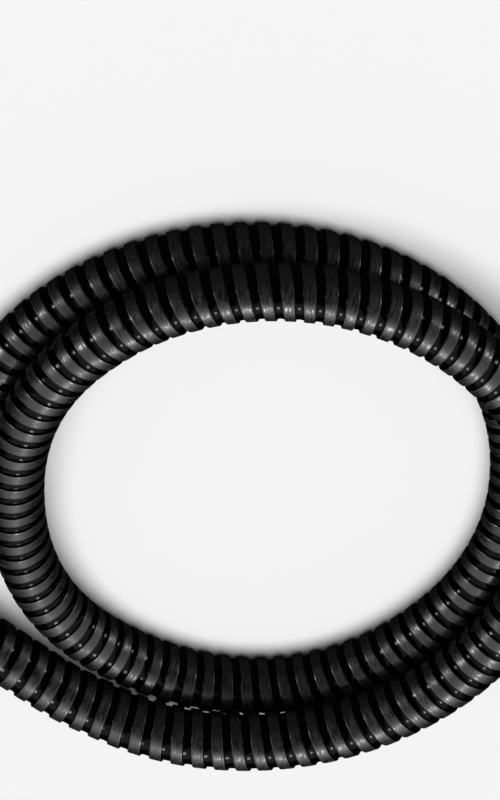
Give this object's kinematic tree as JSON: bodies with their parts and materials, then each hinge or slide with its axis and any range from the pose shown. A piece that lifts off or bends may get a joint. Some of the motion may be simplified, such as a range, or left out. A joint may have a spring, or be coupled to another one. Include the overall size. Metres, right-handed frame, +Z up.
{
  "type": "pool vacuum hose",
  "caption": "Ribbed pool vacuum hose wound in loose turns, with a plain cuff glued on one end and a swivel cuff on the other.",
  "frame": {"origin": "on the floor, under the middle of the whole part as it lies", "axes": "+Z up from the floor, +X towards the side where both cuffs lie, +Y towards the side that the picture shows at its bottom"},
  "size_m": [0.5928, 0.5221, 0.0967],
  "materials": {
    "hose": "black satin EVA, with fine streaks round the ribs",
    "cuff": "black moulded plastic, satin",
    "slip": "off-white slippery nylon",
    "seal": "black seal rubber"
  },
  "bodies": {
    "hose": {"hose_coil": "hose", "fixed_cuff": "cuff", "swivel_collar": "cuff", "swivel_washer": "slip", "swivel_seal": "seal"},
    "swivel_end": {"swivel_cuff": "cuff", "swivel_retainer": "slip"}
  },
  "joints": [
    {"name": "cuff_swivel", "type": "hinge", "parent": "hose", "child": "swivel_end", "pos_m": [0.22995, 0.12455, 0.03208], "axis": [0.7999, -0.5902, -0.1087], "continuous": true}
  ]
}
